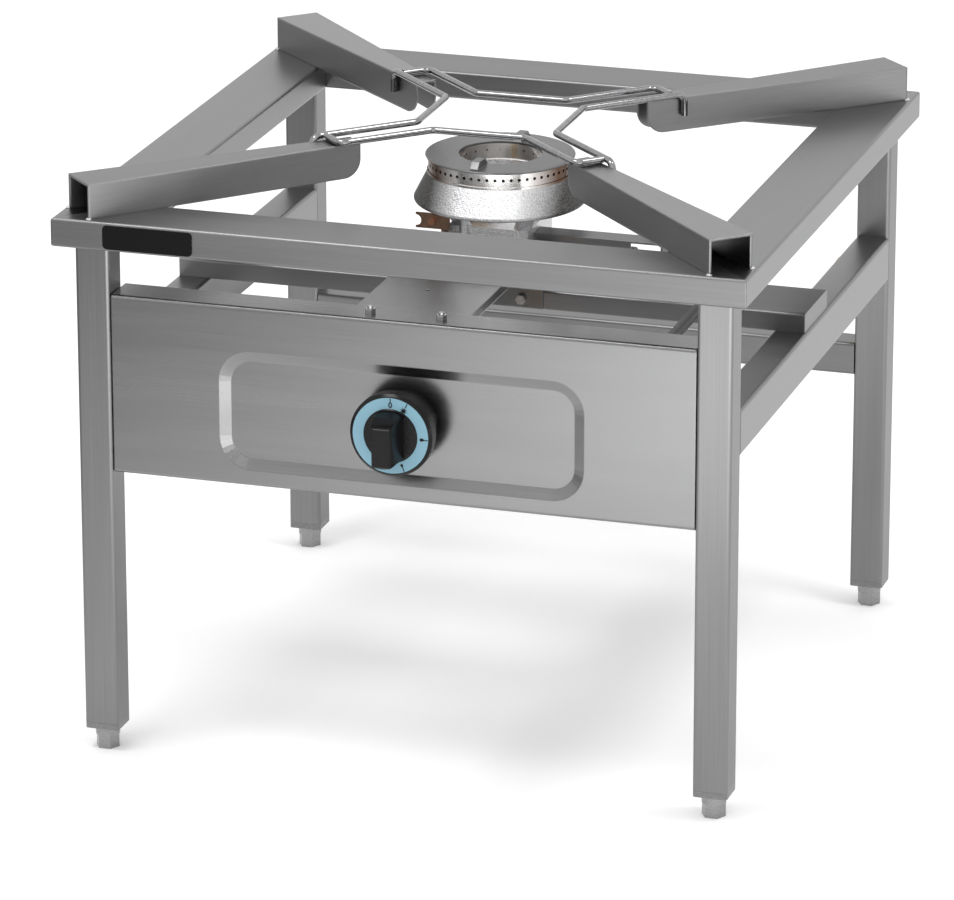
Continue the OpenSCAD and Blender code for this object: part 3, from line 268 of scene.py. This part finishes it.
def cast_metal():
    """Rough sand-cast aluminium, each grain a small facet, darkened by painted shade towards its left and
    right.
    """
    material, tree, shader = new_material("cast_aluminium")
    grains = plain_noise(tree, CAST_GRAIN, FINE_DETAIL)
    unshaded_grains = ramp(tree, grains, *CAST_REACH, *UNSHADED_TONES)
    shaded_grains = ramp(tree, grains, *CAST_REACH, *PAINTED_SHADE_TONES)
    mix = tree.nodes.new("ShaderNodeMix")
    mix.data_type = "RGBA"
    # Painted shade, growing with the distance to the left or right of the burner's least shaded part
    painted_shade = map_range(tree, across_burner(tree), (*PAINTED_SHADE_REACH, 0, 1))
    tree.links.new(painted_shade, mix.inputs["Factor"])
    tree.links.new(unshaded_grains, mix.inputs["A"])
    tree.links.new(shaded_grains, mix.inputs["B"])
    tree.links.new(mix.outputs["Result"], shader.inputs["Base Color"])
    shader.inputs["Metallic"].default_value = 1
    shader.inputs["Roughness"].default_value = CAST_ROUGH
    bump(tree, shader, grains, 1.0, CAST_DEPTH)
    return material


def heat_tint_and_shade_ring():
    """The flame ring: bright at the front and back, and brown with heat tint at the sides, where painted
    shade darkens it further.
    """
    material, tree, shader = new_material("heat_tint_and_shade_ring")
    tint = ramp(tree, across_burner(tree), *TINT_AND_SHADE_REACH, *RING_TONES)
    tree.links.new(tint, shader.inputs["Base Color"])
    shader.inputs["Metallic"].default_value = 1
    shader.inputs["Roughness"].default_value = RING_ROUGH
    return material


def heat_tinted_plate():
    material, tree, shader = new_material("heat_tinted_plate")
    patches = plain_noise(tree, PATCH_GRAIN, FINE_DETAIL)
    tint = ramp(tree, patches, *PATCH_REACH, *PATCH_TONES)
    tree.links.new(tint, shader.inputs["Base Color"])
    shader.inputs["Metallic"].default_value = PLATE_METALLIC
    shader.inputs["Roughness"].default_value = PLATE_ROUGH
    return material


# Other surfaces
SPECKLE_REACH = (0.35, 0.65)
SPECKLE_STRENGTH = 0.2
SPECKLE_DEPTH = 0.0001
FAINT_DEPTH = 0.00004
SMOOTH_DEPTH = 0.00001
USUAL_GLOSS = 0.5
DULL_GLOSS = 0.2


def speckled(name, dark, light, scale, metallic, roughness, depth=SPECKLE_DEPTH, gloss=USUAL_GLOSS):
    """A plain surface with a faint fine speckle, such as moulded plastic or zinc."""
    material, tree, shader = new_material(name)
    spots = plain_noise(tree, scale, SOFT_DETAIL)
    tree.links.new(ramp(tree, spots, *SPECKLE_REACH, dark, light), shader.inputs["Base Color"])
    shader.inputs["Metallic"].default_value = metallic
    shader.inputs["Roughness"].default_value = roughness
    shader.inputs["Specular IOR Level"].default_value = gloss
    bump(tree, shader, spots, SPECKLE_STRENGTH, depth)
    return material


FRAME_TONE = (0.22, 0.22, 0.223)
PANEL_TONE = (0.24, 0.24, 0.242)
SUPPORT_TONE = (0.24, 0.24, 0.243)
MATERIALS = {"steel_" + grain: brushed("steel_" + grain, grain, FRAME_TONE, 0.34, 0.6) for grain in "xyz"}
MATERIALS.update({
    "panel_x": brushed("panel_x", "x", PANEL_TONE, 0.25, 0.3),
    "support_rising": brushed("support_rising", "rising", SUPPORT_TONE, 0.38, 0.4, SUPPORT_BEND),
    "support_falling": brushed("support_falling", "falling", SUPPORT_TONE, 0.30, 0.5, SUPPORT_BEND),
    "bright_wire": speckled("bright_wire", (0.25, 0.25, 0.255), (0.31, 0.31, 0.315), 300, 1, 0.09,
                            SMOOTH_DEPTH),
    "weld_metal": speckled("weld_metal", (0.55, 0.55, 0.56), (0.75, 0.75, 0.76), 900, 1, 0.2),
    "grey_plastic": speckled("grey_plastic", (0.17, 0.17, 0.175), (0.25, 0.25, 0.255), 900, 0, 0.4),
    "foot_steel": speckled("foot_steel", (0.27, 0.27, 0.27), (0.33, 0.33, 0.33), 700, 1, 0.3,
                           FAINT_DEPTH),
    "black_plastic": speckled("black_plastic", (0.004, 0.004, 0.0045), (0.006, 0.006, 0.0065), 900, 0, 0.24,
                              SMOOTH_DEPTH, DULL_GLOSS),
    "dial_blue": speckled("dial_blue", (0.235, 0.44, 0.545), (0.255, 0.47, 0.575), 1500, 0, 0.5),
    "dial_black": speckled("dial_black", (0.005, 0.005, 0.006), (0.008, 0.008, 0.009), 900, 0, 0.5,
                           SMOOTH_DEPTH, DULL_GLOSS),
    "zinc_fastener": speckled("zinc_fastener", (0.42, 0.42, 0.42), (0.55, 0.55, 0.55), 800, 1, 0.3),
    "brass_part": speckled("brass_part", (0.52, 0.35, 0.13), (0.62, 0.43, 0.18), 500, 1, 0.3),
    "dark_pipe": speckled("dark_pipe", (0.05, 0.05, 0.05), (0.08, 0.08, 0.08), 600, 0.4, 0.45),
    "cast_burner": cast_metal(),
    "flame_ring_steel": heat_tint_and_shade_ring(),
    "burner_cap_steel": speckled("burner_cap_steel", (0.17, 0.17, 0.17), (0.20, 0.20, 0.20), 700, 1, 0.36,
                                 FAINT_DEPTH),
    "heat_tinted_steel": heat_tinted_plate(),
    "copper_part": speckled("copper_part", (0.55, 0.27, 0.16), (0.66, 0.34, 0.21), 600, 1, 0.25),
})

# Nodes whose material isn't their slot's: steel with its grain along the tube or sheet, and the feet
OWN_MATERIALS = {
    "steel_x": ["top_rail_front", "top_rail_rear", "rear_rail", "burner_beam", "injector_bracket"],
    "panel_x": ["front_panel", "valve_shield"],
    "steel_y": ["top_rail_left", "top_rail_right", "side_rail_left", "side_rail_right"],
    "steel_z": ["leg_front_left", "leg_front_right", "leg_rear_left", "leg_rear_right"],
    "support_rising": ["pot_support_front_left", "pot_support_rear_right"],
    "support_falling": ["pot_support_front_right", "pot_support_rear_left"],
    "foot_steel": ["foot_front_left", "foot_front_right", "foot_rear_left", "foot_rear_right"],
}
SLOTS = {entry["node"]: entry["material_slot"] for entry in frame["record"]["subparts"]}


def dress_nodes():
    by_node = {node: name for name, members in OWN_MATERIALS.items() for node in members}
    for node, piece in frame["nodes"].items():
        material = MATERIALS[by_node.get(node) or SLOTS[node]]
        piece.data.materials.clear()
        piece.data.materials.append(material)


dress_nodes()


# Small pieces that the solids leave out
def mesh_object(name, mesh_maker, material, body):
    mesh = bpy.data.meshes.new(name)
    work = bmesh.new()
    mesh_maker(work)
    bmesh.ops.recalc_face_normals(work, faces=work.faces)
    work.to_mesh(mesh)
    work.free()
    mesh.materials.append(material)
    piece = bpy.data.objects.new(name, mesh)
    bpy.context.scene.collection.objects.link(piece)
    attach(piece, body)


def prism(work, outline, place, depth):
    """A thin plate from an outline: place turns (across, outwards, off the face) into the frame."""
    low = [work.verts.new(place(a, b, 0)) for a, b in outline]
    high = [work.verts.new(place(a, b, depth)) for a, b in outline]
    work.faces.new(low[::-1])
    work.faces.new(high)
    for i in range(len(outline)):
        j = (i + 1) % len(outline)
        work.faces.new((low[i], low[j], high[j], high[i]))


def band(work, outer, inner, place, depth):
    """A thin plate between two outlines with the same number of points."""
    rings = [[work.verts.new(place(a, b, h)) for a, b in line] for line in (outer, inner) for h in (0, depth)]
    count = len(outer)
    for i in range(count):
        j = (i + 1) % count
        for first, second in ((0, 1), (1, 3), (3, 2), (2, 0)):
            work.faces.new((rings[first][i], rings[first][j], rings[second][j], rings[second][i]))


# Dial marks: a ring for off, a spark, a large and a small flame, each with a tick outside it
DIAL_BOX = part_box("dial_ring")
DIAL_Y = DIAL_BOX[0].y
DIAL_R = (DIAL_BOX[1].x - DIAL_BOX[0].x) / 2
DIAL_Z = (DIAL_BOX[1].z + DIAL_BOX[0].z) / 2
TICK_OUT = DIAL_R - 0.3 * MM
TICK_W = 0.85 * MM
MARK_T = 0.12 * MM
MARK_SINK = 0.05 * MM
MARK_STEPS = 32
TICK_GAP_SHARE = 0.4
FLAME_POWER = 0.8
SPARK_POINTS = 8
SPARK_DIVISOR = 5
# Each mark's turn in degrees, its distance from the dial's middle, its width and its height outwards
MARKS = {
    "off": (0, 26.8 * MM, 3.3 * MM, 5.0 * MM),
    "spark": (27, 25.4 * MM, 7.5 * MM, 7.5 * MM),
    "large_flame": (92, 27.9 * MM, 4.2 * MM, 5.0 * MM),
    "small_flame": (158.4, 27.4 * MM, 3.3 * MM, 4.0 * MM),
}
OFF_STROKE = 1.0 * MM


def dial_place(turn):
    """Coordinates of a mark: across it, outwards from the dial's middle, and out of its face."""
    angle = math.radians(turn)
    out = Vector((math.sin(angle), 0, math.cos(angle)))
    across = Vector((math.cos(angle), 0, -math.sin(angle)))
    middle = Vector((0, DIAL_Y + MARK_SINK, DIAL_Z))
    return lambda a, b, h: middle + across * a + out * b + Vector((0, -h, 0))


def oval(width, height, centre):
    points = []
    for i in range(MARK_STEPS):
        t = i * math.tau / MARK_STEPS
        points.append((width / 2 * math.cos(t), centre + height / 2 * math.sin(t)))
    return points


def flame(width, height, centre):
    """A drop with its point outwards."""
    points = []
    for i in range(MARK_STEPS):
        t = i * math.tau / MARK_STEPS
        narrow = (1 - math.cos(t)) / 2
        points.append((width / 2 * math.sin(t) * narrow ** FLAME_POWER, centre + height / 2 * math.cos(t)))
    return points


def spark(size, centre):
    """A star with as many points as SPARK_POINTS says."""
    outline = []
    for i in range(2 * SPARK_POINTS):
        r = size / 2 if i % 2 == 0 else size / SPARK_DIVISOR
        t = i * math.pi / SPARK_POINTS
        outline.append((r * math.cos(t), centre + r * math.sin(t)))
    return outline


def tick(inner):
    """A short stroke from the distance given out to the dial's edge."""
    half = TICK_W / 2
    return [(-half, inner), (half, inner), (half, TICK_OUT), (-half, TICK_OUT)]


def dial_marks(work):
    depth = MARK_T + MARK_SINK
    for name, (turn, middle, width, height) in MARKS.items():
        place = dial_place(turn)
        prism(work, tick(middle + height * TICK_GAP_SHARE), place, depth)
        if name == "off":
            inner = oval(width - 2 * OFF_STROKE, height - 2 * OFF_STROKE, middle)
            band(work, oval(width, height, middle), inner, place, depth)
        elif name == "spark":
            prism(work, spark(width, middle), place, depth)
        else:
            prism(work, flame(width, height, middle), place, depth)


mesh_object("dial_marks", dial_marks, MATERIALS["dial_black"], "knob")


# The pot supports, each with the sides of the middle on which its outer end lies
SUPPORTS = {
    "pot_support_front_left": (-1, -1),
    "pot_support_front_right": (1, -1),
    "pot_support_rear_left": (-1, 1),
    "pot_support_rear_right": (1, 1),
}

# Folded and pressed edges, which are sharp in the solids
SOFT_EDGES = {node: 0.9 * MM for node in SUPPORTS}
SOFT_EDGES.update({
    "burner_beam": 0.5 * MM,
    "knob": 0.7 * MM,
    "burner_cap": 0.4 * MM,
    "name_plate": 0.3 * MM,
})
SAME_POINT = 0.01 * MM
EDGE_STEPS = 3
EDGE_ANGLE = math.radians(40)


def soften_edges():
    for node, width in SOFT_EDGES.items():
        modifiers = frame["nodes"][node].modifiers
        joined = modifiers.new("joined_points", "WELD")
        joined.merge_threshold = SAME_POINT
        edge = modifiers.new("soft_edges", "BEVEL")
        edge.width = width
        edge.segments = EDGE_STEPS
        edge.limit_method = "ANGLE"
        edge.angle_limit = EDGE_ANGLE
        edge.use_clamp_overlap = True
        flat = modifiers.new("flat_faces", "WEIGHTED_NORMAL")
        flat.keep_sharp = False


soften_edges()


# Weld spots at the lower outer corners of the pot supports
WELD_SIZE = Vector((2.6, 2.6, 1.6)) * MM
WELD_RISE = 0.4 * MM
LOW_REACH = 1 * MM


def weld_places(node, way):
    """The two outermost low corners of a support, one on each side of its diagonal."""
    outward = Vector((way[0], way[1], 0)).normalized()
    across = Vector((-outward.y, outward.x, 0))
    piece = frame["nodes"][node]
    middle = (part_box(node)[0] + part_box(node)[1]) / 2
    points = [piece.matrix_world @ v.co for v in piece.data.vertices]
    low = [p for p in points if p.z < FRAME_TOP + LOW_REACH]
    places = []
    for side in (-1, 1):
        places.append(max(low, key=lambda p: (p - middle).dot(outward) + side * (p - middle).dot(across)))
    return places


def weld_spots(work):
    for node, way in SUPPORTS.items():
        for place in weld_places(node, way):
            raised = Matrix.Translation(place + Vector((0, 0, WELD_RISE)))
            shape = raised @ Matrix.Diagonal((*WELD_SIZE, 1))
            bmesh.ops.create_icosphere(work, subdivisions=2, radius=1, matrix=shape)


mesh_object("weld_spots", weld_spots, MATERIALS["weld_metal"], "frame")


# Floor and light
FLOOR_SIZE = 24
FLOOR_LIGHT = 0.8
# The floor's tone changes along lines that lean by this much, like the left edge of the camera's view
SIGHT_SLOPE = 0.4
# Painted shade far to the object's left and a painted pool of light in front of it to the right, which the
# metal shows in its reflections
# Each has two places on the floor and the two tones, or shares of a tone, that belong to them
FLOOR_SHADE = (-1.45, -0.5, 0.35, 1.08)
SHINE_ACROSS = (-1.15, -0.45, 0, 1)
SHINE_AHEAD = (-1.7, -0.85, 2.9, 0)
WORLD_LIGHT = 0.95
# Each lamp's place, aim, size and power in watts
LAMPS = {
    "key": ((0.3, -2.6, 2.1), (0, 0, 0.3), (1.6, 1.6), 4),
    "top": ((-0.65, -0.95, 2.3), (0, 0, 0.3), (0.8, 0.5), 12),
    "right_top": ((1.15, 0, 2.3), (0, 0, 0.45), (0.5, 0.5), 11),
}


def seen_directly(tree):
    """1 for camera, glossy and transmission rays, 0 for the others."""
    rays = tree.nodes.new("ShaderNodeLightPath")
    value = rays.outputs["Is Camera Ray"]
    for kind in ("Is Glossy Ray", "Is Transmission Ray"):
        value = math_node(tree, "MAXIMUM", value, rays.outputs[kind])
    return value


def floor_painted_shade_and_light(tree):
    """White round the object, greyer far to its left with painted shade, and brighter in front of it towards
    the right with a painted pool of light.
    """
    axes = object_axes(tree)
    across = math_node(tree, "ADD", axes["X"], math_node(tree, "MULTIPLY", axes["Y"], SIGHT_SLOPE))
    shade = map_range(tree, across, FLOOR_SHADE)
    right = map_range(tree, across, SHINE_ACROSS)
    front = map_range(tree, axes["Y"], SHINE_AHEAD)
    return math_node(tree, "ADD", shade, math_node(tree, "MULTIPLY", right, front))


def make_floor():
    bpy.ops.mesh.primitive_plane_add(size=FLOOR_SIZE, location=(0, 0, 0))
    floor = bpy.context.object
    floor.name = "floor"
    material = bpy.data.materials.new("floor")
    material.use_nodes = True
    tree = material.node_tree
    tree.nodes.clear()
    out = tree.nodes.new("ShaderNodeOutputMaterial")
    mix = tree.nodes.new("ShaderNodeMixShader")
    tree.links.new(seen_directly(tree), mix.inputs["Fac"])
    lighting = tree.nodes.new("ShaderNodeBsdfDiffuse")
    lighting.inputs["Color"].default_value = (FLOOR_LIGHT, FLOOR_LIGHT, FLOOR_LIGHT, 1)
    shown = tree.nodes.new("ShaderNodeBsdfDiffuse")
    tree.links.new(floor_painted_shade_and_light(tree), shown.inputs["Color"])
    for socket, matt in ((1, lighting), (2, shown)):
        tree.links.new(matt.outputs["BSDF"], mix.inputs[socket])
    tree.links.new(mix.outputs[0], out.inputs["Surface"])
    floor.data.materials.append(material)


def make_world():
    world = bpy.data.worlds.new("studio")
    bpy.context.scene.world = world
    world.use_nodes = True
    tree = world.node_tree
    tree.nodes.clear()
    out = tree.nodes.new("ShaderNodeOutputWorld")
    mix = tree.nodes.new("ShaderNodeMixShader")
    tree.links.new(seen_directly(tree), mix.inputs["Fac"])
    for socket, strength in ((1, WORLD_LIGHT), (2, 1)):
        sky = tree.nodes.new("ShaderNodeBackground")
        sky.inputs["Color"].default_value = (1, 1, 1, 1)
        sky.inputs["Strength"].default_value = strength
        tree.links.new(sky.outputs[0], mix.inputs[socket])
    tree.links.new(mix.outputs[0], out.inputs["Surface"])


def area_light(name, place, aim, size, power):
    data = bpy.data.lights.new(name, "AREA")
    data.shape = "RECTANGLE"
    data.size, data.size_y = size
    data.energy = power
    lamp = bpy.data.objects.new(name, data)
    bpy.context.scene.collection.objects.link(lamp)
    lamp.location = place
    lamp.rotation_euler = (Vector(aim) - Vector(place)).to_track_quat("-Z", "Y").to_euler()


make_floor()
make_world()
for lamp_name, settings in LAMPS.items():
    area_light(lamp_name, *settings)
